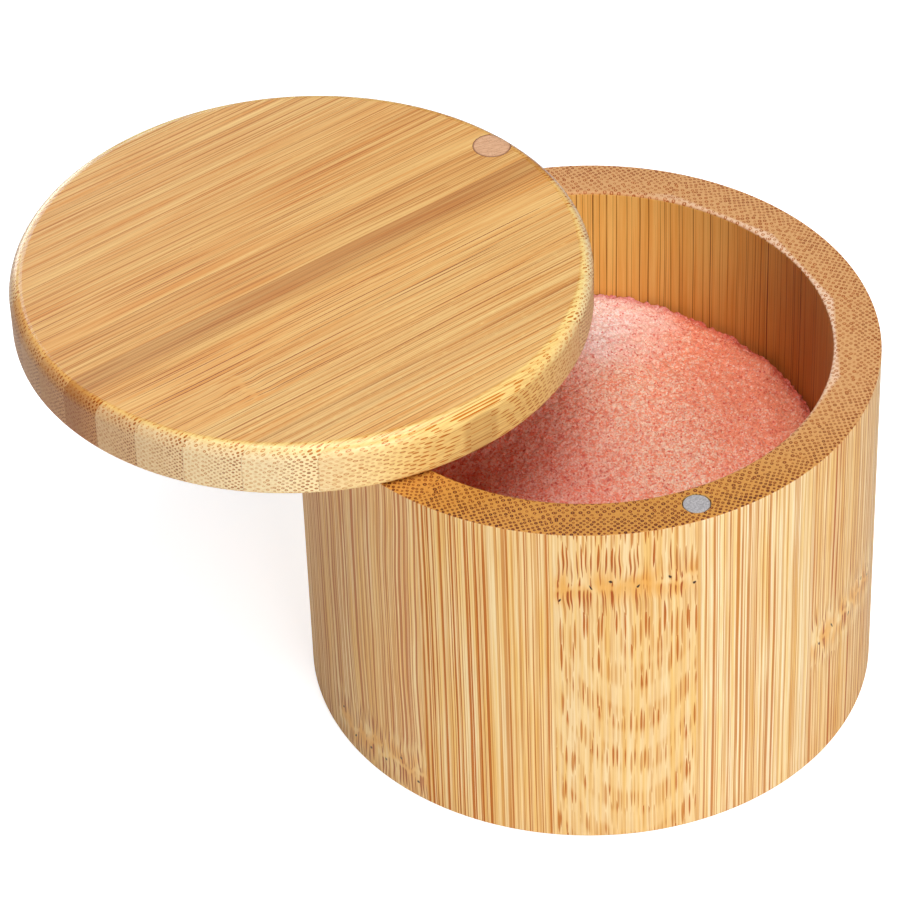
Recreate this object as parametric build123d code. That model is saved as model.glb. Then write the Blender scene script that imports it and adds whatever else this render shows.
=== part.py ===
"""Round bamboo salt box with a flat lid that swivels on an upright wooden dowel.

The wall is coopered from staves glued edge to edge and turned round. The lid is a board of
strips glued side by side, turned to the same diameter. The dowel is glued in the lid and turns
in a blind hole in the rim. A magnet in the rim, opposite the dowel, meets one in the lid.
Millimetres. +Z is up, the origin is at the centre of the underside, +Y points to the dowel.
"""
from build123d import *
from math import ceil, floor, radians, tan
import os

os.makedirs("parts", exist_ok=True)

# Wall
OUTER_DIAMETER = 88.9
BODY_HEIGHT = 61.2
WALL = 7.3
STAVE_COUNT = 13
RIM_CHAMFER = 0.6        # inner edge of the rim
ARRIS = 0.25             # outer edges, broken with fine paper

# Base board, let into a rebate in the foot of the wall
BASE_THICKNESS = 6.0
REBATE = 3.6             # how far the board runs under the wall
GLUE_LINE = 0.05         # round the board

# Lid
LID_THICKNESS = 8.5
LID_GAP = 0.2            # between the rim and the lid
LID_TOP_ROUND = 2.2
LID_ROUND_FLATS = 6      # narrow flats that make up the round, within 0.02 mm of it
LID_FOOT_CHAMFER = 0.9
STRIP_WIDTH = 7.2
STRIP_OFFSET = 1.2       # from the lid's centre to the next glue line
LEAST_STRIP = 1.5        # no narrower offcut is left at the lid's edge
GRAIN_TURN = -6.5        # degrees from the line between dowel and magnet
LID_SWING = -65.65       # degrees from closed to the open rest position

# Pivot dowel
DOWEL_DIAMETER = 6.0
DOWEL_FIT = 0.05         # all round, glued in the lid and running in the rim
PIVOT_HOLE_DEPTH = 25.0
DOWEL_END_GAP = 0.5
DOWEL_CHAMFER = 0.6

# Magnets
MAGNET_DIAMETER = 4.0
MAGNET_THICKNESS = 2.0
MAGNET_CHAMFER = 0.15
MAGNET_FIT = 0.15        # all round, filled with glue
MAGNET_TURN = 1.7        # degrees past the point opposite the dowel

# Salt, a shallow cone poured near the dowel
SALT_PEAK_HEIGHT = 44.5
SALT_PEAK_X = -5.3
SALT_PEAK_Y = 25.5
SALT_SLOPE = 8.5         # degrees
SALT_GAP = 0.3           # to the wall

# Sizes that follow
outer_radius = OUTER_DIAMETER / 2
inner_radius = outer_radius - WALL
wall_middle = outer_radius - WALL / 2
stave_angle = 360 / STAVE_COUNT
rebate_radius = inner_radius + REBATE
lid_foot = BODY_HEIGHT + LID_GAP
lid_top = lid_foot + LID_THICKNESS
pivot = Axis((0, wall_middle, 0), (0, 0, 1))
drill_radius = DOWEL_DIAMETER / 2 + DOWEL_FIT
pocket_radius = MAGNET_DIAMETER / 2 + MAGNET_FIT

UP = (Align.CENTER, Align.CENTER, Align.MIN)
DOWN = (Align.CENTER, Align.CENTER, Align.MAX)


def rod(radius, height, place, align=UP):
    """A cylinder standing on, or hanging from, the point `place`."""
    return Pos(place) * Cylinder(radius, height, align=align)


def magnet_place(height):
    """The spot over the wall where the magnets meet, at the given height."""
    return (Rot(0, 0, MAGNET_TURN) * Pos(0, -wall_middle, height)).position


def corner(section, x, y):
    """The corner of a flat section nearest to (x, y)."""
    return section.vertices().sort_by_distance((x, y, 0))[0]


def turned(section, arc=360):
    """A flat section, drawn as radius and height, turned about the upright axis."""
    return revolve(Plane.XZ * section, Axis.Z, revolution_arc=arc)


def wall_section():
    """Section of the wall, with the rebate for the base board."""
    low_left = (Align.MIN, Align.MIN)
    section = Pos(inner_radius, 0) * Rectangle(WALL, BODY_HEIGHT, align=low_left)
    section -= Pos(inner_radius, 0) * Rectangle(REBATE, BASE_THICKNESS, align=low_left)
    section = chamfer(corner(section, outer_radius, 0), ARRIS)
    section = chamfer(corner(section, outer_radius, BODY_HEIGHT), ARRIS)
    return chamfer(corner(section, inner_radius, BODY_HEIGHT), RIM_CHAMFER)


def make_staves():
    """The wall's staves, the first one centred on the dowel."""
    blank = Rot(0, 0, 90 - stave_angle / 2) * turned(wall_section(), stave_angle)
    pivot_hole = rod(drill_radius, PIVOT_HOLE_DEPTH, (0, wall_middle, BODY_HEIGHT), DOWN)
    pocket = rod(pocket_radius, MAGNET_THICKNESS, magnet_place(BODY_HEIGHT), DOWN)
    staves = {}
    for index in range(STAVE_COUNT):
        stave = Rot(0, 0, index * stave_angle) * blank
        staves[f"stave_{index + 1:02d}"] = stave - pivot_hole - pocket
    return staves


def make_base():
    """The round base board, its lower edge broken so that the joint shows as a fine line."""
    board = rod(rebate_radius - GLUE_LINE, BASE_THICKNESS, (0, 0, 0))
    return chamfer(board.edges().group_by(Axis.Z)[0], ARRIS)


def lid_blank():
    """The lid turned from one glued-up board, closed over the box."""
    arc = CenterArc((outer_radius - LID_TOP_ROUND, lid_top - LID_TOP_ROUND), LID_TOP_ROUND, 0, 90)
    edge = [arc @ (step / LID_ROUND_FLATS) for step in range(LID_ROUND_FLATS + 1)]
    section = make_face(Polyline((0, lid_foot), (outer_radius, lid_foot), *edge, (0, lid_top), close=True))
    section = chamfer(corner(section, outer_radius, lid_foot), LID_FOOT_CHAMFER)
    return turned(section)


def make_strips(blank):
    """The lid's strips, sliced from the turned blank along its glue lines."""
    reach = outer_radius - LEAST_STRIP
    first = ceil((-reach - STRIP_OFFSET) / STRIP_WIDTH)
    last = floor((reach - STRIP_OFFSET) / STRIP_WIDTH)
    seams = [STRIP_OFFSET + step * STRIP_WIDTH for step in range(first, last + 1)]
    edges = [-outer_radius] + seams + [outer_radius]
    blank = blank - rod(drill_radius, LID_THICKNESS, (0, wall_middle, lid_foot))
    blank = blank - rod(pocket_radius, MAGNET_THICKNESS, magnet_place(lid_foot))
    strips = {}
    for number, (left, right) in enumerate(zip(edges, edges[1:]), start=1):
        slot = Box(right - left, OUTER_DIAMETER, LID_THICKNESS, align=(Align.MIN, Align.CENTER, Align.MIN))
        strip = blank & (Rot(0, 0, GRAIN_TURN) * Pos(left, 0, lid_foot) * slot)
        strips[f"lid_strip_{number:02d}"] = strip
    return strips


def make_dowel(blank):
    """The pivot dowel, its top shaped with the lid's rounded edge."""
    foot = BODY_HEIGHT - PIVOT_HOLE_DEPTH + DOWEL_END_GAP
    radius = DOWEL_DIAMETER / 2
    dowel = rod(radius, lid_top - foot, (0, wall_middle, foot))
    dowel = chamfer(dowel.edges().group_by(Axis.Z)[0], DOWEL_CHAMFER)
    trimmings = rod(outer_radius, LID_THICKNESS, (0, 0, lid_foot)) - blank
    above_round = lid_foot + LID_THICKNESS / 2
    return dowel - split(trimmings, Plane.XY.offset(above_round), keep=Keep.TOP)


def make_magnet(foot):
    """A plated disc magnet standing at the height `foot`."""
    disc = rod(MAGNET_DIAMETER / 2, MAGNET_THICKNESS, magnet_place(foot))
    return chamfer(disc.edges().filter_by(GeomType.CIRCLE), MAGNET_CHAMFER)


def make_salt():
    """The salt standing on the base board, its top a cone that runs out past the wall."""
    heap = rod(inner_radius - SALT_GAP, SALT_PEAK_HEIGHT - BASE_THICKNESS, (0, 0, BASE_THICKNESS))
    fall = OUTER_DIAMETER * tan(radians(SALT_SLOPE))
    peak = Pos(SALT_PEAK_X, SALT_PEAK_Y, SALT_PEAK_HEIGHT)
    cone = peak * Cone(OUTER_DIAMETER, 0, fall, align=DOWN)
    below = rod(outer_radius, SALT_PEAK_HEIGHT - fall, (0, 0, 0))
    return heap & (cone + below)


lid = lid_blank()
fixed = make_staves()
fixed["base_board"] = make_base()
fixed["rim_magnet"] = make_magnet(BODY_HEIGHT - MAGNET_THICKNESS)
fixed["salt_fill"] = make_salt()

swinging = make_strips(lid)
swinging["pivot_dowel"] = make_dowel(lid)
swinging["lid_magnet"] = make_magnet(lid_foot)

for name, solid in fixed.items():
    export_step(solid, f"parts/{name}.step")
for name, solid in swinging.items():
    export_step(solid.rotate(pivot, LID_SWING), f"parts/{name}.step")
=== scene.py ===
"""Looks of the bamboo salt box: turned stave wall, swivel lid of glued strips, dowel, magnets and salt.

Metres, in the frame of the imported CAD. The lid is modelled at its open rest place.
"""

import math
import random

import bmesh
import bpy
from mathutils import Matrix, Vector


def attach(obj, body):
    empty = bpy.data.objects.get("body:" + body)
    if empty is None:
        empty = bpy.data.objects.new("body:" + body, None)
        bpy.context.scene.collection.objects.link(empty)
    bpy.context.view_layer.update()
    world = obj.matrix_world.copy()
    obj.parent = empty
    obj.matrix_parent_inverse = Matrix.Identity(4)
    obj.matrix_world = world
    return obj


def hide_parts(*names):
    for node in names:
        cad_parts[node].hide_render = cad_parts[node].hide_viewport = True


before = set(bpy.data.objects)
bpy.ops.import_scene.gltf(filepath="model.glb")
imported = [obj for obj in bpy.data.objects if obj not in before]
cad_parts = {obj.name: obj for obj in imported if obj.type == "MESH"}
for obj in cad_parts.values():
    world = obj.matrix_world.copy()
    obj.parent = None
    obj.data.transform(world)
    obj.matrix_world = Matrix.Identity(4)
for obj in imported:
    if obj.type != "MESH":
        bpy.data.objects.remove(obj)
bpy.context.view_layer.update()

MM = 0.001
NEAR = 1e-6                           # how close a corner has to be to a place, to be picked by it
MERGE_DISTANCE = 1e-7
SMOOTH_ANGLE = math.radians(30)       # edges sharper than this stay sharp
DRILL_MARGIN = 2 * MM                 # how far a drill runs past what it cuts

# Wall
OUTER_RADIUS = 44.445 * MM
INNER_RADIUS = 37.15 * MM
WALL_MIDDLE = 40.8 * MM
BODY_HEIGHT = 61.2 * MM
STAVE_COUNT = 13
STAVE_ANGLE = math.tau / STAVE_COUNT
REBATE = 3.6 * MM
BASE_THICKNESS = 6.0 * MM
BASE_RADIUS = 40.7 * MM
RIM_ROUND = 0.6 * MM
RIM_ROUND_STEPS = 4
ARRIS = 0.25 * MM
ARRIS_STEPS = 2
PIVOT_STAVE = 0                       # counted from the dowel, as are the staves round the magnet
MAGNET_STAVES = (6, 7)
STAVE_STEPS = 20

# Lid
LID_FOOT = 61.4 * MM
LID_THICKNESS = 8.5 * MM
LID_TOP = LID_FOOT + LID_THICKNESS
LID_TOP_ROUND = 2.2 * MM
LID_TOP_STEPS = 8
LID_FOOT_ROUND = 0.9 * MM
LID_FOOT_STEPS = 4
LID_SIDES = 240
STRIP_COUNT = 13
STRIP_WIDTH = 7.2 * MM
STRIP_OFFSET = 1.2 * MM
SEAMS_BEFORE_CENTRE = 6
LID_SWING = math.radians(-65.65)
GRAIN_TURN = math.radians(-6.5)

# Base board
BASE_SIDES = 180
BASE_STRIP_OFFSET = 2.0 * MM

# Dowel and magnets
DOWEL_RADIUS = 3.0 * MM
HOLE_RADIUS = 3.05 * MM
PIVOT_HOLE_DEPTH = 25.0 * MM
DOWEL_FOOT = BODY_HEIGHT - 24.5 * MM
DOWEL_CHAMFER = 0.6 * MM
DOWEL_CHAMFER_STEPS = 3
MAGNET_RADIUS = 2.0 * MM
MAGNET_THICKNESS = 2.0 * MM
MAGNET_ROUND = 0.15 * MM
MAGNET_ROUND_STEPS = 3
MAGNET_SIDES = 48
POCKET_RADIUS = 2.15 * MM
MAGNET_ANGLE = math.radians(-90 + 1.7)

# Salt
SALT_RADIUS = 37.1 * MM
SALT_PEAK = Vector((-5.3, 25.5, 44.5)) * MM
SALT_SLOPE = math.tan(math.radians(8.5))
SALT_LUMP = Vector((33.6, 9.0)) * MM  # one large lump that leans on the wall
SALT_LUMP_HEIGHT = 1.3 * MM
SALT_LUMP_RADIUS = 1.6 * MM
SALT_EDGE = 1.8 * MM                  # width of the crumbly edge along the wall
SALT_BRINK = 0.8 * MM                 # how far that edge falls
SALT_CELLS = 270                      # squares along each side of the sheet
SALT_SIDE_DROP = 5 * MM               # first pull of its side, before it is set down on the base
SALT_RELIEF = (                       # texture, its kind and scale, its height and what it roughens
    ("salt lumps", "CLOUDS", 6 * MM, 1.0 * MM, "top"),
    ("salt clods", "CLOUDS", 1.1 * MM, 0.7 * MM, "top"),
    ("salt grains", "VORONOI", 0.8 * MM, -0.35 * MM, "top"),
    ("crumbled salt", "CLOUDS", 1.1 * MM, 1.6 * MM, "edge"),
)

pivot = Vector((0, WALL_MIDDLE, 0))
swing = Matrix.Translation(pivot) @ Matrix.Rotation(LID_SWING, 4, "Z") @ Matrix.Translation(-pivot)
lid_centre = swing @ Vector((0, 0, 0))
lid_turn = LID_SWING + GRAIN_TURN
along_lid = Vector((-math.sin(lid_turn), math.cos(lid_turn), 0))
across_lid = Vector((math.cos(lid_turn), math.sin(lid_turn), 0))
rim_magnet_place = Vector((math.cos(MAGNET_ANGLE), math.sin(MAGNET_ANGLE), 0)) * WALL_MIDDLE
lid_magnet_place = swing @ rim_magnet_place


# ---- modelling helpers ----

def only(obj):
    """Makes obj the only thing selected, in object mode."""
    if bpy.context.mode != "OBJECT":
        bpy.ops.object.mode_set(mode="OBJECT")
    bpy.ops.object.select_all(action="DESELECT")
    obj.select_set(True)
    bpy.context.view_layer.objects.active = obj
    return obj


def edit(obj):
    """Opens obj alone in edit mode."""
    only(obj)
    bpy.ops.object.mode_set(mode="EDIT")


def pick(obj, kind, test):
    """Selects the corners, edges or faces whose middle passes the test, and nothing else."""
    bpy.ops.mesh.select_mode(type=kind)
    bpy.ops.mesh.select_all(action="DESELECT")
    mesh = bmesh.from_edit_mesh(obj.data)
    if kind == "VERT":
        found = [v for v in mesh.verts if test(v.co)]
    elif kind == "EDGE":
        found = [e for e in mesh.edges if test((e.verts[0].co + e.verts[1].co) / 2)]
    else:
        found = [f for f in mesh.faces if test(f.calc_center_median())]
    for item in found:
        item.select_set(True)
    bmesh.update_edit_mesh(obj.data)


def bevel(width, steps, affect="EDGES"):
    """Rounds what is selected."""
    bpy.ops.mesh.bevel(offset_type="OFFSET", offset=width, segments=steps, profile=0.5, affect=affect)


def apply_place(obj):
    """Puts the object's place in its mesh, so that the object sits at the origin."""
    only(obj)
    bpy.ops.object.transform_apply(location=True, rotation=True, scale=True)
    return obj


def apply_modifier(obj, kind, **settings):
    """Adds a modifier with these settings and applies it at once."""
    only(obj)
    modifier = obj.modifiers.new(kind.title(), kind)
    for key, value in settings.items():
        setattr(modifier, key, value)
    bpy.ops.object.modifier_apply(modifier=modifier.name)


def cylinder(name, radius, foot, top, centre=(0, 0), sides=64):
    """A closed cylinder from the height foot to the height top."""
    bpy.ops.object.select_all(action="DESELECT")
    place = (centre[0], centre[1], (foot + top) / 2)
    bpy.ops.mesh.primitive_cylinder_add(vertices=sides, radius=radius, depth=top - foot, location=place)
    obj = bpy.context.object
    obj.name = obj.data.name = name
    return apply_place(obj)


def bevel_ring(obj, height, width, steps):
    """Rounds the ring of edges at the given height."""
    edit(obj)
    pick(obj, "EDGE", lambda c: abs(c.z - height) < NEAR)
    bevel(width, steps)
    bpy.ops.object.mode_set(mode="OBJECT")


def copy_of(obj, name):
    """A copy with a mesh of its own."""
    only(obj)
    bpy.ops.object.duplicate()
    twin = bpy.context.object
    twin.name = twin.data.name = name
    return twin


def cut(obj, cutter, operation="DIFFERENCE"):
    """Takes the cutter's shape out of obj, or keeps only what lies in it."""
    apply_modifier(obj, "BOOLEAN", operation=operation, solver="EXACT", object=cutter)


def discard(*objs):
    """Removes blanks and cutters with their meshes."""
    for obj in objs:
        mesh = obj.data
        bpy.data.objects.remove(obj)
        bpy.data.meshes.remove(mesh)


def finish_mesh(obj):
    """Closes the mesh, turns its faces outward and smooths its rounds."""
    edit(obj)
    bpy.ops.mesh.select_all(action="SELECT")
    bpy.ops.mesh.remove_doubles(threshold=MERGE_DISTANCE)
    bpy.ops.mesh.normals_make_consistent(inside=False)
    bpy.ops.object.mode_set(mode="OBJECT")
    bpy.ops.object.shade_smooth_by_angle(angle=SMOOTH_ANGLE)
    apply_modifier(obj, "WEIGHTED_NORMAL", keep_sharp=True)


def mark(obj, **values):
    """Writes a plank's own numbers on its mesh, for the bamboo finish to read.

    A number may be given as a way of working it out from the place.
    """
    for name, value in values.items():
        layer = obj.data.attributes.new(name, "FLOAT", "POINT")
        corners = obj.data.vertices
        layer.data.foreach_set("value", [value(v.co) if callable(value) else value for v in corners])


def place_on(obj, body, node, finish):
    """Gives the piece its finish and its body, and hides the node that it replaces."""
    obj.data.materials.clear()
    obj.data.materials.append(finish)
    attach(obj, body)
    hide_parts(node)


# ---- finishes ----

class Finish:
    """A node tree and short ways of adding to it. Most hand back the new node's output or outputs."""

    def __init__(self, tree):
        self.tree = tree

    def node(self, kind, **settings):
        made = self.tree.nodes.new(kind)
        for key, value in settings.items():
            setattr(made, key, value)
        return made

    def feed(self, socket, value):
        if isinstance(value, bpy.types.NodeSocket):
            self.tree.links.new(value, socket)
        elif value is not None:
            socket.default_value = value

    def math(self, operation, a, b=None, clamp=False):
        made = self.node("ShaderNodeMath", operation=operation, use_clamp=clamp)
        for socket, value in zip(made.inputs, (a, b)):
            self.feed(socket, value)
        return made.outputs[0]

    def add(self, a, b):
        return self.math("ADD", a, b)

    def times(self, a, b):
        return self.math("MULTIPLY", a, b)

    def less(self, a, b):
        return self.math("SUBTRACT", a, b)

    def ramp(self, value, low, high, start=0.0, end=1.0):
        """A soft step: start below low, end above high."""
        made = self.node("ShaderNodeMapRange", interpolation_type="SMOOTHSTEP", clamp=True)
        for socket, number in zip(made.inputs, (value, low, high, start, end)):
            self.feed(socket, number)
        return made.outputs[0]

    def vector(self, x, y, z):
        made = self.node("ShaderNodeCombineXYZ")
        for socket, value in zip(made.inputs, (x, y, z)):
            self.feed(socket, value)
        return made.outputs[0]

    def split(self, vector):
        made = self.node("ShaderNodeSeparateXYZ")
        self.feed(made.inputs[0], vector)
        return made.outputs

    def vmath(self, operation, a, b=None):
        made = self.node("ShaderNodeVectorMath", operation=operation)
        self.feed(made.inputs[0], a)
        self.feed(made.inputs[1], b)
        return made.outputs["Value" if operation in ("DOT_PRODUCT", "LENGTH") else "Vector"]

    def noise(self, vector, scale=1.0, detail=2.0, roughness=0.5):
        made = self.node("ShaderNodeTexNoise", noise_dimensions="3D")
        given = {"Vector": vector, "Scale": scale, "Detail": detail, "Roughness": roughness}
        for key, value in given.items():
            self.feed(made.inputs[key], value)
        return made.outputs["Fac"]

    def cells(self, place, scale=1.0, randomness=1.0, dimensions="3D"):
        """Cells round scattered points, each with a random colour, its distance and its position."""
        made = self.node("ShaderNodeTexVoronoi", voronoi_dimensions=dimensions)
        place_key = "W" if dimensions == "1D" else "Vector"
        given = {place_key: place, "Scale": scale, "Randomness": randomness}
        for key, value in given.items():
            self.feed(made.inputs[key], value)
        return made.outputs

    def blend(self, share, a, b, kind="MIX"):
        made = self.node("ShaderNodeMix", data_type="RGBA", blend_type=kind, clamp_factor=True)
        self.feed(made.inputs[0], share)
        self.feed(made.inputs[6], a)
        self.feed(made.inputs[7], b)
        return made.outputs[2]

    def stain(self, share, base, tint):
        """The base colour, multiplied by the tint where share is 1."""
        return self.blend(share, base, self.blend(1.0, base, tint, "MULTIPLY"))

    def turn(self, vector, angle):
        made = self.node("ShaderNodeVectorRotate", rotation_type="Z_AXIS")
        self.feed(made.inputs["Vector"], vector)
        self.feed(made.inputs["Angle"], angle)
        return made.outputs[0]

    def attribute(self, name):
        return self.node("ShaderNodeAttribute", attribute_name=name).outputs["Fac"]

    def coordinates(self):
        return self.node("ShaderNodeTexCoord").outputs

    def place_in_mm(self, coordinates=None):
        """The surface's place in the part's frame, in millimetres."""
        at = self.vmath("SCALE", (coordinates or self.coordinates())["Object"])
        at.node.inputs["Scale"].default_value = 1 / MM
        return at

    def bump(self, shader, strength, distance, height):
        """Gives the shader fine relief."""
        made = self.node("ShaderNodeBump")
        made.inputs["Strength"].default_value = strength
        made.inputs["Distance"].default_value = distance
        self.feed(made.inputs["Height"], height)
        self.feed(shader.inputs["Normal"], made.outputs["Normal"])


def colour(red, green, blue):
    """A display colour, 0 to 255, as the linear colour that Blender wants."""
    def linear(value):
        value /= 255
        return value / 12.92 if value <= 0.04045 else ((value + 0.055) / 1.055) ** 2.4
    return (linear(red), linear(green), linear(blue), 1.0)


def new_material(name):
    """A material with only a Principled shader, and its Finish."""
    material = bpy.data.materials.new(name)
    material.use_nodes = True
    shader = material.node_tree.nodes["Principled BSDF"]
    return material, Finish(material.node_tree), shader


# Fibre bundles cut across. The two sets are the wide ones of the pith side and the close ones of the
# skin side: mm from bundle to bundle, radius as a share of that, and a shift that tells them apart
PITH_BUNDLES = (0.98, 0.37, 0.0)
SKIN_BUNDLES = (0.8, 0.38, 5.0)
BUNDLE_CHANGE = 3.0                   # mm of depth where the one set gives way to the other
BUNDLE_TURN = math.radians(40)        # of the bundles' rows
BUNDLE_SCATTER = 0.28                 # 0 leaves the rows straight
SOFT_EDGE = 0.05                      # half the width of a mark's blurred edge, in its own unit


def end_dots(f, around, deep, shift, unit, radius, near_skin):
    """Fibre bundles cut across: dark dots, split in two lobes towards the pith."""
    at = f.vector(f.add(f.math("DIVIDE", around, unit), shift),
                  f.add(f.math("DIVIDE", deep, unit), f.times(shift, 0.31)), 0.0)
    turned = f.turn(at, BUNDLE_TURN)
    cell = f.cells(turned, randomness=BUNDLE_SCATTER, dimensions="2D")
    chance = f.split(cell["Color"])
    centre = f.less(f.split(f.turn(cell["Position"], -BUNDLE_TURN))[1], f.times(shift, 0.31))
    side = "GREATER_THAN" if near_skin else "LESS_THAN"
    present = f.math(side, f.times(centre, unit), BUNDLE_CHANGE)
    own_turn = f.times(f.less(chance[2], 1.2), 0.9)
    way = f.split(f.turn(f.vmath("SUBTRACT", turned, cell["Position"]), own_turn))
    size = f.times(f.add(0.75, f.times(chance[2], 0.4)), radius)
    body = f.ramp(f.less(cell["Distance"], size), -SOFT_EDGE, SOFT_EDGE, 1.0, 0.0)
    across_gap = f.math("POWER", f.times(way[0], 8.0), 2.0)
    along_gap = f.math("POWER", f.times(way[1], f.add(3.6, f.times(chance[1], 3.0))), 2.0)
    hollow = f.ramp(f.add(across_gap, along_gap), 0.3, 1.6, 1.0, 0.0)
    gap = f.times(hollow, f.ramp(deep, 4.5, 7.0, 0.75, 0.4))
    dark = f.times(f.times(body, f.less(1.0, gap)), f.ramp(chance[0], 0.0, 1.0, 0.8, 1.0))
    return f.times(dark, present)


# Sets of lines, each finer than the one before: its spacing and its lines' width as shares of the
# first set's, and the strengths of its weakest and strongest lines
LINE_SETS = ((1.0, 1.0, 0.4, 1.0), (0.57, 0.42, 0.15, 0.9), (0.27, 0.26, 0.0, 0.8))
LINE_BLUR = 0.04                      # mm, half the width of a line's blurred edge


def long_lines(f, cross, along, shift, unit, half, hair):
    """Bundles cut lengthwise, as lines with their own widths and strengths, with finer ones between."""
    sets = []
    for share, width_share, low, high in LINE_SETS:
        place = f.add(f.math("DIVIDE", cross, f.times(unit, share)), f.add(shift, share))
        cell = f.cells(place, randomness=0.85, dimensions="1D")
        chance = f.split(cell["Color"])
        swell = f.noise(f.vector(f.times(chance[2], 97.0), f.times(along, 0.05), shift), detail=1.0)
        own_width = f.times(f.add(0.45, f.times(chance[0], 0.75)), f.times(half, width_share))
        width = f.times(own_width, f.add(0.5, swell))
        gap = f.less(f.times(f.times(cell["Distance"], unit), share), width)
        strength = f.times(f.ramp(chance[1], 0.1, 0.8, low, high), f.ramp(swell, 0.25, 0.5, 0.5, 1.0))
        sets.append(f.times(f.ramp(gap, -LINE_BLUR, LINE_BLUR, 1.0, 0.0), strength))
    return f.math("MAXIMUM", f.math("MAXIMUM", *sets[:2]), f.times(sets[2], hair))


def dashes(f, cross, along, shift, unit, length, half):
    """Bundles that dip under the surface: short lines, tapered at both ends."""
    across = f.add(f.math("DIVIDE", cross, unit), shift)
    at = f.vector(across, f.add(f.math("DIVIDE", along, length), f.times(shift, 0.37)), 0.0)
    cell = f.cells(at, randomness=0.8, dimensions="2D")
    chance = f.split(cell["Color"])
    way = f.split(f.vmath("SUBTRACT", at, cell["Position"]))
    taper = f.less(1.0, f.math("POWER", f.times(way[1], f.less(2.4, f.times(chance[2], 0.8))), 2.0))
    width = f.times(f.times(f.add(0.5, f.times(chance[0], 0.5)), half), taper)
    body = f.ramp(f.less(f.times(f.math("ABSOLUTE", way[0]), unit), width), -0.06, 0.05, 1.0, 0.0)
    return f.times(f.times(body, f.ramp(taper, 0.0, 0.3)), f.ramp(chance[1], 0.0, 0.9, 0.35, 1.0))


NO_KNUCKLE = -500                     # mm, a knuckle far beyond the plank's end

# What the plank's finish is given, with the value where a material gives none
PLANK_INLETS = (
    ("Along", 0), ("Round", 0), ("Depth", 3), ("Cross", 0), ("Edge", 3), ("Seed", 0), ("Wander", 0.2),
    ("Dash", 0.2), ("Knuckle", NO_KNUCKLE), ("Arches", 0), ("End grain", 0), ("Tone", 0), ("Warmth", 0),
    ("Line unit", 1), ("Line half", 0.2), ("Dash length", 5), ("Dot size", 1), ("Dot strength", 1),
    ("Pits", 1), ("Lines", 1), ("Tone depth", 7), ("Skin", 0), ("Dot unit", 1), ("Hair", 0.5),
    ("Slant", 0),
)
PIT_SPACING = 3.9                     # mm from pit to pit along a knuckle


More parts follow.
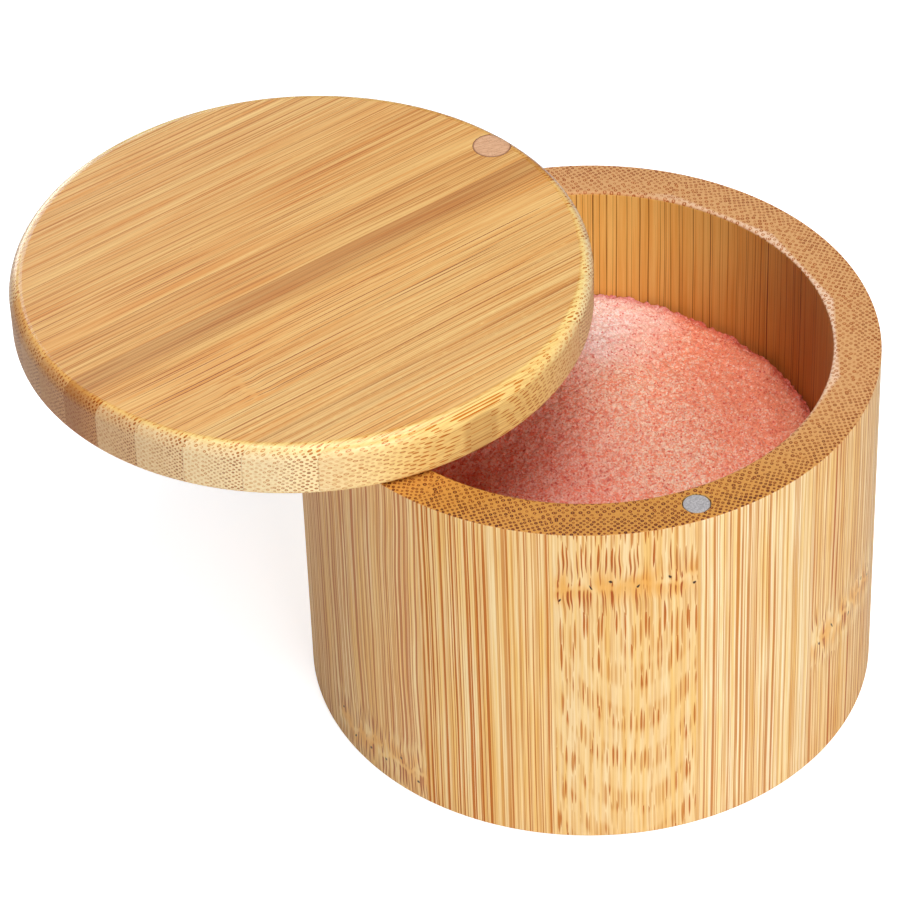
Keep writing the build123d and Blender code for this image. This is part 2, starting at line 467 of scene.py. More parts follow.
def bamboo_group():
    """A bamboo plank cut by the surface wherever it lies.

    Along runs with the fibres, Round with the culm's skin, and Depth goes from 0 at the pith side to
    about 7 at the skin. Cross is counted across the lines on a long face, and Edge is how far the
    next glue line is. All are in millimetres.
    """
    group = bpy.data.node_groups.new("bamboo plank", "ShaderNodeTree")
    for name, value in PLANK_INLETS:
        socket = group.interface.new_socket(name, in_out="INPUT", socket_type="NodeSocketFloat")
        socket.default_value = value
    for name in ("Face", "Stripe", "End", "Line", "Dot"):
        group.interface.new_socket(name, in_out="INPUT", socket_type="NodeSocketColor")
    group.interface.new_socket("Colour", in_out="OUTPUT", socket_type="NodeSocketColor")
    group.interface.new_socket("Roughness", in_out="OUTPUT", socket_type="NodeSocketFloat")
    group.interface.new_socket("Height", in_out="OUTPUT", socket_type="NodeSocketFloat")
    f = Finish(group)
    given = f.node("NodeGroupInput").outputs
    along, around, depth, cross, seed = (given[k] for k in ("Along", "Round", "Depth", "Cross", "Seed"))
    unit, half, end_grain = (given[k] for k in ("Line unit", "Line half", "End grain"))

    shift = f.times(seed, 17.37)
    ripple = f.noise(f.vector(f.add(f.times(cross, 0.4), shift), 0.0, 5.0), detail=2.0)
    from_knuckle = f.add(f.less(along, given["Knuckle"]), f.times(f.less(ripple, 0.5), 5.5))
    knuckle_gap = f.math("ABSOLUTE", from_knuckle)
    near_knuckle = f.ramp(knuckle_gap, 2.0, 9.0, 1.0, 0.0)

    # Fibres wander a little, and more round a knuckle.
    soft = f.noise(f.vector(f.add(f.times(cross, 0.09), shift), f.times(along, 0.025), 0.0), detail=1.0)
    hard = f.noise(f.vector(f.add(f.times(cross, 0.3), shift), f.times(along, 0.17), 3.0), detail=1.0)
    strayed = f.add(f.times(f.less(soft, 0.5), f.times(given["Wander"], 8.0)),
                    f.times(f.less(hard, 0.5), f.times(near_knuckle, 0.9)))
    cross = f.add(cross, strayed)

    # Arches are bands where the cut runs through a knuckle's curved fibres.
    bow = f.math("POWER", f.less(around, 1.5), 2.0)
    band = f.math("SINE", f.times(f.less(along, f.times(bow, 0.1)), 0.72))
    below_knuckle = f.ramp(from_knuckle, -16.0, -12.0, 1.0, 0.0)
    arches = f.times(f.times(given["Arches"], f.ramp(band, -0.6, 0.7)), below_knuckle)
    dash = f.math("MAXIMUM", given["Dash"], near_knuckle)

    straight = long_lines(f, cross, along, shift, unit, half, given["Hair"])
    straight = f.times(straight, f.less(1.0, f.times(dash, 0.9)))
    broken = dashes(f, cross, along, shift, f.times(unit, 0.72), given["Dash length"], half)
    line = f.times(f.math("MAXIMUM", straight, f.times(broken, dash)), given["Lines"])
    line = f.times(line, f.less(1.0, f.times(arches, 0.65)))
    line = f.times(line, f.ramp(knuckle_gap, 0.15, 0.8, 0.2, 1.0))
    dots = [end_dots(f, around, depth, f.add(shift, other), f.times(given["Dot unit"], spacing),
                     f.times(given["Dot size"], radius), near_skin)
            for (spacing, radius, other), near_skin in ((PITH_BUNDLES, False), (SKIN_BUNDLES, True))]
    dot = f.times(f.math("MAXIMUM", *dots), given["Dot strength"])

    # Ground tissue: stripes of tone, finer fibres and broad bands.
    stripe_at = f.vector(f.add(f.times(cross, 1.5), shift), f.times(along, 0.03), 7.0)
    stripe = f.noise(stripe_at, detail=2.0, roughness=0.6)
    broad_at = f.vector(f.add(f.times(cross, 0.3), shift), f.times(along, 0.02), 11.0)
    broad = f.noise(broad_at, detail=1.0)
    deepening = f.add(f.times(f.less(stripe, 0.5), 3.2), f.times(f.less(broad, 0.5), 1.6))
    deepening = f.math("ADD", deepening, 0.4, clamp=True)
    fine_at = f.vector(f.add(f.times(around, 3.0), shift), f.times(depth, 3.0), f.times(along, 0.08))
    fine = f.noise(fine_at, detail=3.0, roughness=0.7)

    face = f.blend(deepening, given["Face"], given["Stripe"])
    deep_line = f.stain(f.times(near_knuckle, 0.8), given["Line"], colour(226, 184, 168))
    face = f.stain(f.ramp(line, 0.0, 0.5), face, colour(252, 238, 206))
    amber = f.times(f.ramp(knuckle_gap, 0.4, 5.0, 1.0, 0.0), f.ramp(hard, 0.35, 0.6))
    amber = f.times(amber, f.ramp(given["Pits"], 0.0, 1.0, 0.25, 0.8))
    face = f.stain(amber, face, colour(246, 208, 138))
    face = f.blend(line, face, deep_line)

    # Pits are the small dark eyes along a knuckle.
    pit_cell = f.cells(f.add(f.times(cross, 1 / PIT_SPACING), shift), randomness=0.7, dimensions="1D")
    pit_height = f.less(from_knuckle, f.times(f.less(f.split(pit_cell["Color"])[1], 0.5), 5.0))
    pit_gap = f.vmath("LENGTH", f.vector(f.times(pit_cell["Distance"], PIT_SPACING), pit_height, 0.0))
    pit = f.times(f.ramp(pit_gap, 0.16, 0.32, 1.0, 0.0), given["Pits"])
    face = f.blend(pit, face, colour(62, 34, 20))

    speckle = f.ramp(fine, 0.35, 0.7, 0.0, 0.6)
    face = f.stain(f.times(speckle, 0.5), face, colour(234, 214, 190))
    end = f.stain(speckle, given["End"], colour(234, 214, 190))
    end = f.stain(f.ramp(dot, 0.0, 0.5), end, colour(232, 172, 112))
    end = f.blend(f.ramp(dot, 0.15, 0.95), end, given["Dot"])
    end = f.blend(f.times(given["Slant"], line), end, given["Dot"])
    face = f.stain(given["Warmth"], face, colour(252, 238, 212))
    # Brownness from the tone at the pith side and at the skin: the planks' own tone, and painted shade
    # inside the wall.
    towards_skin = f.ramp(depth, f.times(given["Tone depth"], 0.3), given["Tone depth"])
    tone_and_painted_shade = f.add(f.times(given["Tone"], f.less(1.0, towards_skin)), f.times(given["Skin"], towards_skin))
    face = f.blend(f.times(tone_and_painted_shade, -1.0), face, colour(255, 240, 200))
    wood = f.blend(end_grain, face, end)
    wood = f.blend(f.ramp(given["Edge"], 0.02, 0.1, 0.22, 0.0), wood, given["Line"])
    wood = f.stain(tone_and_painted_shade, wood, colour(176, 138, 98))

    out = f.node("NodeGroupOutput").inputs
    strand = f.blend(end_grain, line, f.times(dot, 0.6))
    f.feed(out["Colour"], wood)
    f.feed(out["Roughness"], f.add(0.5, f.times(f.less(fine, 0.5), 0.25)))
    f.feed(out["Height"], f.less(f.times(fine, 0.5), f.add(f.times(strand, 0.5), f.times(pit, 4.0))))
    return group


def bamboo_material(name, group, measure, end_grain, polish, specular, **looks):
    """A finish made of the plank group. Polish is how much smoother it is than bare wood.

    measure(finish, position in mm) gives Along, Round, Depth, Cross, Edge and the fibre direction.
    end_grain(finish, how far the surface faces along the fibres, the five places) is 1 on end grain.
    Polish and the looks are values or colours, or ways of making one from the finish and those five
    places. The slanted colours are those of end grain cut at a slant.
    """
    material, f, shader = new_material(name)
    coordinates = f.coordinates()
    *places, fibre = measure(f, f.place_in_mm(coordinates))
    plank = f.node("ShaderNodeGroup", node_tree=group)
    facing = f.math("ABSOLUTE", f.vmath("DOT_PRODUCT", coordinates["Normal"], fibre))
    square = f.ramp(facing, 0.15, 0.7)
    looks = {key: value(f, *places) if callable(value) else value for key, value in looks.items()}
    for key in ("end", "dot"):
        looks[key] = f.blend(square, looks.pop("slanted_" + key), looks[key])
    looks["dot_size"] = f.times(f.ramp(facing, 0.05, 0.5, 0.8, 1.0), looks["dot_size"])
    f.feed(plank.inputs["End grain"], end_grain(f, facing, *places))
    f.feed(plank.inputs["Slant"], f.ramp(facing, 0.12, 0.35, 0.9, 0.0))
    for key, value in zip(("Along", "Round", "Depth", "Cross", "Edge"), places):
        f.feed(plank.inputs[key], value)
    for key, value in looks.items():
        f.feed(plank.inputs[key.capitalize().replace("_", " ")], value)
    for key in PLANK_NUMBERS:
        f.feed(plank.inputs[key.title()], f.attribute(key))
    f.bump(shader, strength=0.5, distance=0.03 * MM, height=plank.outputs["Height"])
    f.feed(shader.inputs["Base Color"], plank.outputs["Colour"])
    if callable(polish):
        polish = polish(f, *places)
    f.feed(shader.inputs["Roughness"], f.less(plank.outputs["Roughness"], polish))
    shader.inputs["Specular IOR Level"].default_value = specular
    return material


def measure_wall(f, position):
    """Staves stand upright, skin side out, each with its own flat cross directions.

    They are numbered from the dowel, the way the angle grows.
    """
    x, y, z = f.split(position)
    turn = f.math("ARCTAN2", y, x)
    place = f.math("DIVIDE", f.less(turn, math.pi / 2 - STAVE_ANGLE / 2), STAVE_ANGLE)
    local = f.times(f.less(f.math("FRACT", place), 0.5), STAVE_ANGLE)
    radius = f.math("SQRT", f.add(f.times(x, x), f.times(y, y)))
    around = f.times(radius, f.math("SINE", local))
    depth = f.less(f.times(radius, f.math("COSINE", local)), INNER_RADIUS / MM)
    edge = f.times(radius, f.less(STAVE_ANGLE / 2, f.math("ABSOLUTE", local)))
    return z, around, depth, around, edge, (0, 0, 1)


STRIP_MM = STRIP_WIDTH / MM


def measure_lid(f, position):
    """Strips lie on edge, skin side towards the higher numbers.

    Their lines lean one way on one half of the lid and the other way on the other half, so that
    they cross the round on both sides.
    """
    centred = f.vmath("SUBTRACT", position, tuple(lid_centre / MM))
    along = f.vmath("DOT_PRODUCT", centred, tuple(along_lid))
    across = f.vmath("DOT_PRODUCT", centred, tuple(across_lid))
    height = f.less(f.split(position)[2], (LID_FOOT + LID_THICKNESS / 2) / MM)
    in_strips = f.math("DIVIDE", f.less(across, STRIP_OFFSET / MM), STRIP_MM)
    depth = f.times(f.math("FRACT", in_strips), STRIP_MM)
    edge = f.math("MINIMUM", depth, f.less(STRIP_MM, depth))
    leaning = f.less(1.0, f.times(f.math("GREATER_THAN", in_strips, 0.0), 2.0))
    return along, height, depth, f.add(depth, f.times(height, leaning)), edge, tuple(along_lid)


def measure_base(f, position):
    """The base board's strips run from back to front."""
    x, y, z = f.split(position)
    in_strips = f.math("DIVIDE", f.add(x, BASE_STRIP_OFFSET / MM), STRIP_MM)
    depth = f.times(f.math("FRACT", in_strips), STRIP_MM)
    edge = f.math("MINIMUM", depth, f.less(STRIP_MM, depth))
    return y, z, depth, f.add(depth, z), edge, (0, 1, 0)


def facing_end(least, most):
    """End grain where the surface faces along the fibres."""
    return lambda f, facing, *places: f.ramp(facing, least, most)


LID_FACE = LID_THICKNESS / 2 / MM     # mm from the lid's middle height to its top
EDGE_BORDER = 0.08                    # mm below that top, over which the edge's end grain comes in


def whole_edge(f, facing, along, around, depth, *others):
    """End grain all round the lid's edge, even where the fibres run along it, with a ragged border."""
    ragged = f.noise(f.vector(f.times(along, 0.7), f.times(depth, 2.5), 0.0), detail=1.0)
    height = f.add(f.math("ABSOLUTE", around), f.times(f.less(ragged, 0.5), 0.12))
    return f.ramp(height, LID_FACE, LID_FACE - EDGE_BORDER)


def changing(f, step, first, second):
    """The first colour or value turning into the second as step goes from 0 to 1."""
    if isinstance(first, tuple):
        return f.blend(step, first, second)
    return f.add(f.times(step, second - first), first)


def inside_out(inside, outside):
    """A look of the wall that differs between the pith side, inside, and the skin side."""
    return lambda f, along, around, depth, *others: changing(f, f.ramp(depth, 1.0, 2.5), inside, outside)


GOLDEN_WAY = (-0.57, -0.82)           # from the axis towards the golden part of the rim
GOLDEN_REACH = 34 * MM


def golden_side(f):
    """1 at the left of the wall's front, where the rim is golden, and 0 on the side away from it."""
    x, y, _ = f.split(f.coordinates()["Object"])
    return f.ramp(f.add(f.times(x, GOLDEN_WAY[0]), f.times(y, GOLDEN_WAY[1])), 0.0, GOLDEN_REACH)


def rim_wood(f, along, around, depth, *others):
    """The rim's end grain, with a painted highlight along the right of its inner edge."""
    rim_ground = f.blend(golden_side(f), colour(216, 164, 107), colour(211, 149, 66))
    # Painted highlight: paler along the inner edge on the right side.
    right = f.ramp(f.split(f.coordinates()["Object"])[0], 16 * MM, 36 * MM)
    return f.blend(f.times(right, f.ramp(depth, 0.2, 0.8, 0.6, 0.0)), rim_ground, colour(250, 222, 198))


def rim_dots(f, along, around, depth, *others):
    """Strength of the rim's bundles: more towards the skin and on the golden side."""
    return f.times(f.ramp(depth, 0.3, 6.5, 0.8, 1.0), f.add(f.times(golden_side(f), 0.35), 0.65))


def edge_dots(f, along, around, depth, *others):
    """Strength of the bundles on the lid's edge, more towards the skin."""
    return f.ramp(depth, 0.5, 6.5, 0.4, 0.78)


def polished_round(f, along, around, *others):
    """Polish of the lid: little on its flat top, much where that begins to round, none on its edge."""
    rounded = f.ramp(around, LID_FACE - 0.001, LID_FACE - 0.015, 0.02, 0.3)
    return f.less(rounded, f.ramp(around, 3.5, 2.6, 0.0, 0.3))


def shaded_tan(pale, tan):
    """A look of the lid's end grain that is tan in the warmest strips: painted shade on the lid's lower
    left edge.
    """
    return lambda f, *places: f.blend(f.ramp(f.attribute("warmth"), 0.0, 0.9), pale, tan)


def dowel_material():
    """Turned hardwood, its end grain showing on top inside a darker ring of painted shade, where it meets
    the lid's hole.
    """
    material, f, shader = new_material("dowel beech")
    x, y, z = f.split(f.place_in_mm())
    pores = f.cells(f.vector(f.times(x, 3.2), f.times(y, 3.2), f.times(z, 0.1)))
    rays = f.noise(f.vector(f.times(x, 0.6), f.times(y, 3.0), f.times(z, 0.1)), detail=3.0)
    wood = f.blend(f.ramp(rays, 0.3, 0.7), colour(226, 176, 134), colour(206, 152, 110))
    wood = f.blend(f.ramp(pores["Distance"], 0.12, 0.35, 0.55, 0.0), wood, colour(150, 96, 62))
    out_from_axis = f.vmath("LENGTH", f.vector(f.less(x, pivot.x / MM), f.less(y, pivot.y / MM), 0.0))
    # Painted shade: a dark ring at the edge of the top, for the thin gap round the dowel.
    wood = f.blend(f.ramp(out_from_axis, 2.7, 2.9, 0.0, 0.75), wood, colour(138, 82, 46))
    f.feed(shader.inputs["Base Color"], wood)
    shader.inputs["Roughness"].default_value = 0.55
    f.bump(shader, strength=0.4, distance=0.03 * MM, height=pores["Distance"])
    return material


def magnet_material():
    """Dull nickel plate with small scuffs."""
    material, f, shader = new_material("magnet nickel plate")
    grain = f.noise(f.place_in_mm(), scale=3.5, detail=5.0, roughness=0.7)
    plate = f.blend(f.ramp(grain, 0.35, 0.65), colour(200, 194, 193), colour(160, 154, 153))
    f.feed(shader.inputs["Base Color"], plate)
    f.feed(shader.inputs["Roughness"], f.ramp(grain, 0.3, 0.7, 0.5, 0.7))
    shader.inputs["Metallic"].default_value = 0.4
    f.bump(shader, strength=0.3, distance=0.02 * MM, height=grain)
    return material


PAINTED_LIGHT_PATCH = (9.0, 30.0)               # mm, the middle of a painted pale patch of light


def salt_material():
    """Coarse pink salt: salmon grains in clumps and red ones, with painted light at the back and painted
    shade.
    """
    material, f, shader = new_material("pink salt")
    position = f.place_in_mm()
    grains = f.cells(position, scale=3.7)
    lot = f.split(grains["Color"])
    clumps = f.noise(position, scale=0.75, detail=4.0, roughness=0.75)
    x, y, _ = f.split(position)
    tone = f.add(f.times(lot[0], 0.75), f.times(clumps, 1.3))
    tone = f.add(tone, f.ramp(x, 8.0, 34.0, -0.1, 0.35))
    pink = f.blend(f.ramp(tone, 0.58, 1.32), colour(255, 219, 190), colour(249, 148, 112))
    # Painted light: a paler patch at the back, beside the lid, with a ragged border.
    far = f.vmath("LENGTH", f.vector(f.less(x, PAINTED_LIGHT_PATCH[0]), f.less(y, PAINTED_LIGHT_PATCH[1]), 0.0))
    broad = f.noise(position, scale=0.16, detail=3.0)
    pale = f.ramp(f.add(far, f.times(f.less(broad, 0.5), 12.0)), 5.0, 20.0, 1.0, 0.0)
    pink = f.blend(pale, pink, f.blend(lot[1], colour(255, 242, 236), colour(255, 212, 204)))
    red_clumps = f.ramp(f.noise(position, scale=0.8, detail=3.0), 0.56, 0.7)
    red_grain = f.ramp(lot[2], 0.94, 0.98)
    red = f.math("MAXIMUM", red_grain, f.times(red_clumps, f.add(0.2, f.times(lot[1], 0.7))))
    pink = f.blend(f.times(red, 0.8), pink, colour(216, 72, 54))
    pink = f.blend(f.ramp(lot[2], 0.1, 0.06, 0.0, 0.5), pink, colour(255, 224, 208))
    pink = f.stain(f.ramp(lot[1], 0.6, 1.0, 0.0, 0.3), pink, colour(226, 172, 172))
    # Painted shade in the gaps between grains.
    pink = f.blend(f.ramp(grains["Distance"], 0.4, 0.8, 0.0, 0.3), pink, colour(196, 84, 64))
    # Painted shade: the salt turns redder and more purple towards the left, under the lid.
    pink = f.stain(f.ramp(x, 12.0, -8.0), pink, colour(255, 222, 228))
    # Painted shade: a darker mauve border along the wall.
    painted_shade_by_wall = f.ramp(f.vmath("LENGTH", f.vector(x, y, 0.0)), 34.2, 36.8, 0.0, 0.85)
    pink = f.stain(painted_shade_by_wall, pink, colour(226, 170, 178))
    f.feed(shader.inputs["Base Color"], pink)
    shader.inputs["Roughness"].default_value = 0.5
    f.bump(shader, strength=0.8, distance=0.12 * MM, height=f.less(clumps, grains["Distance"]))
    return material


# ---- pieces ----

# Seeds of the planks' small differences
FIRST_STAVE_SEED = 1
FIRST_STRIP_SEED = 31
BASE_SEED = 77

# Each plank's own numbers: seed, brownness at the pith side and at the skin, warmth, strength of its
# lines, how much its fibres wander, how broken its lines are, where its knuckle is along it in mm,
# and how strong its arched figure is. On the staves the brownness at the pith side is painted shade
# inside the wall; on the lid's strips the warmth also browns the edge as painted shade. The rows
# below start after the seed, and what they leave out at their end is as here. A plank without a row
# is a quiet one
PLANK_NUMBERS = {"seed": 0, "tone": 0.0, "skin": 0.0, "warmth": 0.0, "lines": 1.0, "wander": 0.1,
                 "dash": 0.1, "knuckle": NO_KNUCKLE, "arches": 0.0}
STAVES = {
    1: (0.0, 0.0, 0.15, 0.9, 0.1, 0.1),
    4: (0.2, -0.1, 1.35, 1.5, 0.3, 0.1),
    5: (0.2, -0.1, 1.35, 1.5, 0.3, 0.15, 5),
    6: (0.0, 0.0, 0.9, 1.05, 0.05, 0.0),
    7: (0.0, 0.06, 0.85, 1.2, 0.1, 0.85, 51, 1.0),
    8: (0.0, 0.0, 0.0, 0.95, 0.06, 0.12),
    9: (0.1, 0.0, 0.9, 1.25, 0.14, 0.2, 25),
    # Staves 10 to 12: their pith-side brownness is painted shade on the dark right side of the well
    10: (0.9, 0.0, 0.3, 1.0, 0.08, 0.1),
    11: (0.9, 0.0, 0.25, 1.0, 0.08, 0.1),
    12: (0.4, 0.0, 0.2, 1.0, 0.1, 0.1),
    13: (0.05, 0.0, 0.15, 0.9, 0.1, 0.1),
}
STRIPS = {
    2: (0.05, 0.0, 0.4, 1.0, 0.08, 0.5),
    3: (0.1, 0.05, 0.45, 1.0, 0.08, 0.5),
    4: (0.05, 0.0, 0.5, 1.1, 0.08, 0.5),
    5: (0.1, 0.05, 0.7, 1.0, 0.08, 0.5),
    6: (0.05, 0.0, 0.65, 1.1, 0.08, 0.7),
    7: (0.12, 0.05, 0.7, 1.1, 0.08, 0.6),
    8: (0.42, 0.05, 0.8, 1.1, 0.06, 0.6),
    9: (0.0, 0.0, 0.5, 1.3, 0.12, 0.9),
    10: (0.05, 0.0, 0.35, 1.3, 0.1, 0.8, -24),
    11: (0.05, 0.0, 0.2, 1.2, 0.1, 0.4),
}


def plank_numbers(table, index, seed):
    """A plank's numbers from the table, or a quiet plank's with its own small differences."""
    if index in table:
        row = table[index]
    else:
        chance = random.Random(seed)
        row = (chance.uniform(0, 0.15), 0.0, chance.uniform(0, 0.4), 1.0, chance.uniform(0.05, 0.15),
               chance.uniform(0.1, 0.5))
    return {**PLANK_NUMBERS, **dict(zip(PLANK_NUMBERS, (seed, *row)))}


def model_stave():
    """A stave's section, pulled from its foot, then spun about the box's axis."""
    bpy.ops.object.select_all(action="DESELECT")
    foot_radius = INNER_RADIUS + REBATE
    middle = ((foot_radius + OUTER_RADIUS) / 2, 0, BASE_THICKNESS / 2)
    bpy.ops.mesh.primitive_plane_add(size=1, location=middle, rotation=(math.pi / 2, 0, 0))
    stave = bpy.context.object
    stave.name = stave.data.name = "stave_blank"
    stave.scale = (OUTER_RADIUS - foot_radius, BASE_THICKNESS, 1)
    apply_place(stave)
    edit(stave)
    pick(stave, "EDGE", lambda c: abs(c.z - BASE_THICKNESS) < NEAR)
    bpy.ops.mesh.extrude_edges_move(TRANSFORM_OT_translate={"value": (0, 0, BODY_HEIGHT - BASE_THICKNESS)})
    pick(stave, "EDGE", lambda c: abs(c.x - foot_radius) < NEAR and c.z > BASE_THICKNESS)
    bpy.ops.mesh.extrude_edges_move(TRANSFORM_OT_translate={"value": (-REBATE, 0, 0)})
    corners = ((INNER_RADIUS, BODY_HEIGHT, RIM_ROUND, RIM_ROUND_STEPS),
               (OUTER_RADIUS, BODY_HEIGHT, ARRIS, ARRIS_STEPS), (OUTER_RADIUS, 0, ARRIS, ARRIS_STEPS))
    for radius, height, width, steps in corners:
        pick(stave, "VERT", lambda c: abs(c.x - radius) < NEAR and abs(c.z - height) < NEAR)
        bevel(width, steps, "VERTICES")
    bpy.ops.mesh.select_all(action="SELECT")
    bpy.ops.mesh.spin(steps=STAVE_STEPS, angle=STAVE_ANGLE, center=(0, 0, 0), axis=(0, 0, 1))
    bpy.ops.mesh.select_all(action="SELECT")
    bpy.ops.mesh.remove_doubles(threshold=MERGE_DISTANCE)
    bpy.ops.mesh.normals_make_consistent(inside=False)
    bpy.ops.object.mode_set(mode="OBJECT")
    middle = sum((v.co for v in stave.data.vertices), Vector())
    stave.rotation_euler.z = math.pi / 2 - math.atan2(middle.y, middle.x)
    return apply_place(stave)


def inner_painted_shade(place):
    """Painted shade inside the wall, changing smoothly from stave to stave. The rim has none."""
    if place.z > BODY_HEIGHT - RIM_ROUND / 2:
        return 0.0
    way = (math.atan2(place.y, place.x) - math.pi / 2) / STAVE_ANGLE % STAVE_COUNT
    before = int(way)
    stave, following = before % STAVE_COUNT + 1, (before + 1) % STAVE_COUNT + 1
    here, there = (plank_numbers(STAVES, number, 0)["tone"] for number in (stave, following))
    return here + (there - here) * (way - before)


def make_wall(finish):
    """Copies of one stave, with the dowel's hole and the magnet's pocket drilled."""
    blank = model_stave()
    above = BODY_HEIGHT + DRILL_MARGIN
    hole = cylinder("pivot_drill", HOLE_RADIUS, BODY_HEIGHT - PIVOT_HOLE_DEPTH, above, pivot.xy)
    pocket_foot = BODY_HEIGHT - MAGNET_THICKNESS
    pocket = cylinder("pocket_drill", POCKET_RADIUS, pocket_foot, above, rim_magnet_place.xy)
    for index in range(STAVE_COUNT):
        number = f"stave_{index + 1:02d}"
        stave = copy_of(blank, "bamboo_" + number)
        stave.rotation_euler.z = index * STAVE_ANGLE
        apply_place(stave)
        if index == PIVOT_STAVE:
            cut(stave, hole)
        if index in MAGNET_STAVES:
            cut(stave, pocket)
        finish_mesh(stave)
        numbers = plank_numbers(STAVES, index + 1, FIRST_STAVE_SEED + index)
        # Inside, the brownness is painted shade that changes smoothly round the wall
        mark(stave, **{**numbers, "tone": inner_painted_shade})
        place_on(stave, "box", number, finish)
    discard(blank, hole, pocket)


def make_lid(finish):
    """A turned disc, drilled, and copied once for each strip that is sliced from it."""
    lid = cylinder("lid_blank", OUTER_RADIUS, LID_FOOT, LID_TOP, lid_centre.xy, LID_SIDES)
    bevel_ring(lid, LID_TOP, LID_TOP_ROUND, LID_TOP_STEPS)
    bevel_ring(lid, LID_FOOT, LID_FOOT_ROUND, LID_FOOT_STEPS)
    below = LID_FOOT - DRILL_MARGIN
    hole = cylinder("lid_drill", HOLE_RADIUS, below, LID_TOP + DRILL_MARGIN, pivot.xy)
    pocket_top = LID_FOOT + MAGNET_THICKNESS
    pocket = cylinder("lid_pocket_drill", POCKET_RADIUS, below, pocket_top, lid_magnet_place.xy)
    cut(lid, hole)
    cut(lid, pocket)
    first_seam = STRIP_OFFSET - SEAMS_BEFORE_CENTRE * STRIP_WIDTH
    for index in range(STRIP_COUNT):
        number = f"lid_strip_{index + 1:02d}"
        strip = copy_of(lid, "bamboo_" + number)
        left = first_seam + (index - 1) * STRIP_WIDTH
        cuts = []
        if index > 0:
            cuts.append((1, left))
        if index < STRIP_COUNT - 1:
            cuts.append((-1, left + STRIP_WIDTH))
        edit(strip)
        for side, seam in cuts:
            bpy.ops.mesh.select_all(action="SELECT")
            bpy.ops.mesh.bisect(plane_co=lid_centre + across_lid * seam, plane_no=across_lid * side,
                                use_fill=True, clear_inner=True)
        finish_mesh(strip)
        mark(strip, **plank_numbers(STRIPS, index + 1, FIRST_STRIP_SEED + index))
        place_on(strip, "lid", number, finish)
    discard(lid, hole, pocket)


def make_base(finish):
    """A round board, its lower edge broken."""
    base = cylinder("bamboo_base", BASE_RADIUS, 0, BASE_THICKNESS, sides=BASE_SIDES)
    bevel_ring(base, 0, ARRIS, ARRIS_STEPS)
    finish_mesh(base)
    mark(base, **plank_numbers({}, 0, BASE_SEED))
    place_on(base, "box", "base_board", finish)


def make_dowel(finish):
    """A plain rod, its top shaped with the lid's round."""
    dowel = cylinder("turned_dowel", DOWEL_RADIUS, DOWEL_FOOT, LID_TOP + DRILL_MARGIN, pivot.xy)
    bevel_ring(dowel, DOWEL_FOOT, DOWEL_CHAMFER, DOWEL_CHAMFER_STEPS)
    below = DOWEL_FOOT - DRILL_MARGIN
    lathe = cylinder("lathe_path", OUTER_RADIUS, below, LID_TOP, lid_centre.xy, LID_SIDES)
    bevel_ring(lathe, LID_TOP, LID_TOP_ROUND, LID_TOP_STEPS)
    cut(dowel, lathe, "INTERSECT")
    finish_mesh(dowel)
    place_on(dowel, "lid", "pivot_dowel", finish)
    discard(lathe)


def make_magnet(name, foot, place, body, finish):
    """A disc with both edges rounded."""
    top = foot + MAGNET_THICKNESS
    magnet = cylinder("plated_" + name, MAGNET_RADIUS, foot, top, place.xy, MAGNET_SIDES)
    bevel_ring(magnet, foot, MAGNET_ROUND, MAGNET_ROUND_STEPS)
    bevel_ring(magnet, top, MAGNET_ROUND, MAGNET_ROUND_STEPS)
    finish_mesh(magnet)
    place_on(magnet, body, name, finish)


def crumbling(x, y):
    """0 over most of the salt, growing to 1 along the wall."""
    return max(0.0, 1 - (SALT_RADIUS - math.hypot(x, y)) / SALT_EDGE)


def heap_height(x, y):
    """Height of the smooth heap: a shallow cone with one lump, falling away along the wall."""
    fall = SALT_SLOPE * math.hypot(x - SALT_PEAK.x, y - SALT_PEAK.y)
    from_lump = math.hypot(x - SALT_LUMP.x, y - SALT_LUMP.y) / SALT_LUMP_RADIUS
    lump = SALT_LUMP_HEIGHT * math.exp(-from_lump ** 2)
    return SALT_PEAK.z - fall + lump - SALT_BRINK * crumbling(x, y) ** 2


def make_salt(finish):
    """A sheet of small squares drawn round, heaped, closed down to the base and roughened."""
    bpy.ops.object.select_all(action="DESELECT")
    bpy.ops.mesh.primitive_grid_add(x_subdivisions=SALT_CELLS, y_subdivisions=SALT_CELLS, size=2)
    salt = bpy.context.object
    salt.name = salt.data.name = "heaped_salt"
    for vertex in salt.data.vertices:
        u, v, _ = vertex.co
        x = u * math.sqrt(1 - v * v / 2) * SALT_RADIUS
        y = v * math.sqrt(1 - u * u / 2) * SALT_RADIUS
        vertex.co = (x, y, heap_height(x, y))
    top, edge = (salt.vertex_groups.new(name=name) for name in ("top", "edge"))
    top.add(range(len(salt.data.vertices)), 1.0, "REPLACE")
    for vertex in salt.data.vertices:
        edge.add([vertex.index], crumbling(vertex.co.x, vertex.co.y), "REPLACE")
    edit(salt)
    bpy.ops.mesh.select_mode(type="EDGE")
    bpy.ops.mesh.select_non_manifold(extend=False, use_wire=False, use_boundary=True,
                                     use_multi_face=False, use_non_contiguous=False, use_verts=False)
    bpy.ops.mesh.extrude_edges_move(TRANSFORM_OT_translate={"value": (0, 0, -SALT_SIDE_DROP)})
    bpy.ops.object.vertex_group_remove_from(use_all_groups=True)
    bpy.ops.transform.resize(value=(1, 1, 0), center_override=(0, 0, BASE_THICKNESS))
    bpy.ops.mesh.edge_face_add()
    bpy.ops.object.mode_set(mode="OBJECT")
    for name, kind, scale, strength, group in SALT_RELIEF:
        texture = bpy.data.textures.new(name, kind)
        texture.noise_scale = scale
        apply_modifier(salt, "DISPLACE", texture=texture, texture_coords="LOCAL", direction="Z",
                       strength=strength, mid_level=0.5, vertex_group=group)
    edit(salt)
    bpy.ops.mesh.select_all(action="SELECT")
    bpy.ops.mesh.normals_make_consistent(inside=False)
    bpy.ops.object.mode_set(mode="OBJECT")
    place_on(salt, "box", "salt_fill", finish)


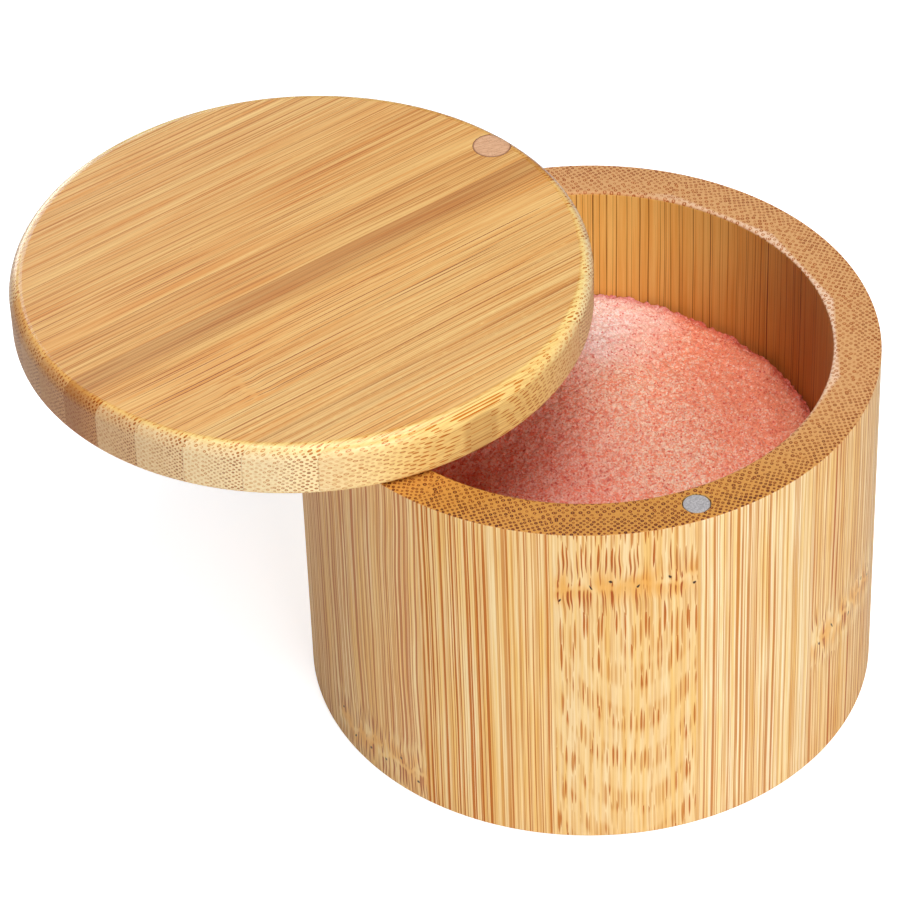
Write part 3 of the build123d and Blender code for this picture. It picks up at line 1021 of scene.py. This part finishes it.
plank = bamboo_group()
make_wall(bamboo_material(
    "stave bamboo", plank, measure_wall, facing_end(0.2, 0.4), polish=0.0, specular=0.3,
    line_unit=inside_out(1.7, 0.96), line_half=inside_out(0.085, 0.2), hair=inside_out(0.0, 0.5),
    dash_length=6.5, tone_depth=1.2, dot_size=0.88, dot_unit=0.87, dot_strength=rim_dots,
    face=inside_out(colour(250, 206, 116), colour(252, 236, 198)),
    stripe=inside_out(colour(242, 186, 92), colour(247, 214, 142)),
    line=inside_out(colour(106, 50, 14), colour(196, 114, 26)),
    end=rim_wood, slanted_end=colour(226, 170, 108),
    dot=colour(78, 26, 4), slanted_dot=colour(150, 80, 24)))
make_lid(bamboo_material(
    "lid bamboo", plank, measure_lid, whole_edge, polish=polished_round, specular=0.36,
    line_unit=0.95, line_half=0.092, hair=0.75, dash_length=26, pits=0,
    dot_size=0.77, dot_unit=0.64, dot_strength=edge_dots,
    face=colour(240, 199, 129), stripe=colour(226, 163, 86), line=colour(146, 72, 16),
    end=shaded_tan(colour(251, 231, 184), colour(206, 146, 86)),
    slanted_end=shaded_tan(colour(255, 230, 150), colour(238, 176, 88)),
    dot=colour(106, 38, 8), slanted_dot=shaded_tan(colour(192, 102, 4), colour(140, 66, 12))))
make_base(bamboo_material(
    "base bamboo", plank, measure_base, facing_end(0.03, 0.09), polish=0.0, specular=0.3,
    line_unit=0.95, line_half=0.1, dash_length=26, pits=0, dot_size=0.85,
    face=colour(235, 192, 136), stripe=colour(222, 172, 110), line=colour(168, 102, 40),
    end=colour(230, 190, 136), slanted_end=colour(230, 186, 126),
    dot=colour(112, 56, 16), slanted_dot=colour(190, 112, 30)))
make_dowel(dowel_material())
nickel = magnet_material()
make_magnet("rim_magnet", BODY_HEIGHT - MAGNET_THICKNESS, rim_magnet_place, "box", nickel)
make_magnet("lid_magnet", LID_FOOT, lid_magnet_place, "lid", nickel)
make_salt(salt_material())


# ---- stage, light and camera ----

FLOOR_WIDTH = 6.0
LAMPS_AIM = Vector((0, 0, 40 * MM))
CAMERA_PLACE = (-0.18297, -0.48217, 0.47836)
CAMERA_ROUND = math.radians(-20.78)   # how far round the box it stands from the front
CAMERA_AIM = (-0.04129, 0.70424, -0.03886)  # yaw from the box's axis, pitch down and roll, radians
CAMERA_LENS = 175.38                  # mm, with a sensor as wide as the next line says
SENSOR_WIDTH = 36


def make_stage():
    """A pale floor. The camera sees it and the surroundings as white, with the box's shadow."""
    bpy.ops.object.select_all(action="DESELECT")
    bpy.ops.mesh.primitive_plane_add(size=FLOOR_WIDTH, location=(0, 0, 0))
    floor = bpy.context.object
    floor.name = "studio_floor"
    material, f, shader = new_material("white paper floor")
    shader.inputs["Base Color"].default_value = (0.9, 0.9, 0.9, 1)
    shader.inputs["Roughness"].default_value = 0.9
    shader.inputs["Specular IOR Level"].default_value = 0.0
    shader.inputs["Emission Color"].default_value = (0.96, 0.98, 1.0, 1)
    f.feed(shader.inputs["Emission Strength"], f.times(seen_directly(f), 0.6))
    floor.data.materials.append(material)

    world = bpy.data.worlds.new("studio")
    bpy.context.scene.world = world
    world.use_nodes = True
    f = Finish(world.node_tree)
    background = world.node_tree.nodes["Background"]
    background.inputs["Color"].default_value = (1.0, 1.0, 1.0, 1.0)
    f.feed(background.inputs["Strength"], f.ramp(seen_directly(f), 0.0, 1.0, 0.14, 1.0))


def seen_directly(f):
    """1 where the camera sees the surroundings, and 0 where they give light."""
    return f.node("ShaderNodeLightPath").outputs["Is Camera Ray"]


def softbox(name, azimuth, elevation, distance, size, power, tint=(1, 1, 1)):
    """A square lamp aimed at the box. Azimuth 0 stands in front, and 90 at the right."""
    a, e = math.radians(azimuth), math.radians(elevation)
    direction = Vector((math.sin(a) * math.cos(e), -math.cos(a) * math.cos(e), math.sin(e)))
    lamp = bpy.data.lights.new(name, "AREA")
    lamp.size = size
    lamp.energy = power
    lamp.color = tint
    holder = bpy.data.objects.new(name, lamp)
    holder.location = LAMPS_AIM + direction * distance
    holder.rotation_mode = "QUATERNION"
    holder.rotation_quaternion = direction.to_track_quat("Z", "Y")
    bpy.context.scene.collection.objects.link(holder)


def make_camera():
    """Looks down into the open box from a little to the left of its front."""
    yaw, pitch, roll = CAMERA_AIM
    forward = Vector((math.sin(yaw) * math.cos(pitch), math.cos(yaw) * math.cos(pitch), -math.sin(pitch)))
    right = Vector((math.cos(yaw), -math.sin(yaw), 0))
    up = right.cross(forward)
    rolled_right = right * math.cos(roll) + up * math.sin(roll)
    rolled_up = up * math.cos(roll) - right * math.sin(roll)
    aimed = Matrix((rolled_right, rolled_up, -forward)).transposed()
    turned = Matrix.Rotation(CAMERA_ROUND, 3, "Z") @ aimed
    camera = bpy.data.cameras.new("camera")
    camera.sensor_width = SENSOR_WIDTH
    camera.lens = CAMERA_LENS
    holder = bpy.data.objects.new("camera", camera)
    holder.matrix_world = Matrix.Translation(CAMERA_PLACE) @ turned.to_4x4()
    bpy.context.scene.collection.objects.link(holder)
    bpy.context.scene.camera = holder


make_stage()
softbox("overhead", azimuth=0, elevation=80, distance=0.8, size=0.55, power=4.95)
softbox("front", azimuth=2, elevation=22, distance=0.9, size=0.4, power=4.1)
softbox("back", azimuth=-178, elevation=31, distance=0.9, size=0.36, power=1.7, tint=(0.55, 0.75, 1.0))
softbox("low back", azimuth=-168, elevation=7, distance=0.9, size=0.36, power=2.2, tint=(0.92, 0.96, 1.0))
make_camera()
bpy.context.scene.view_settings.view_transform = "Standard"
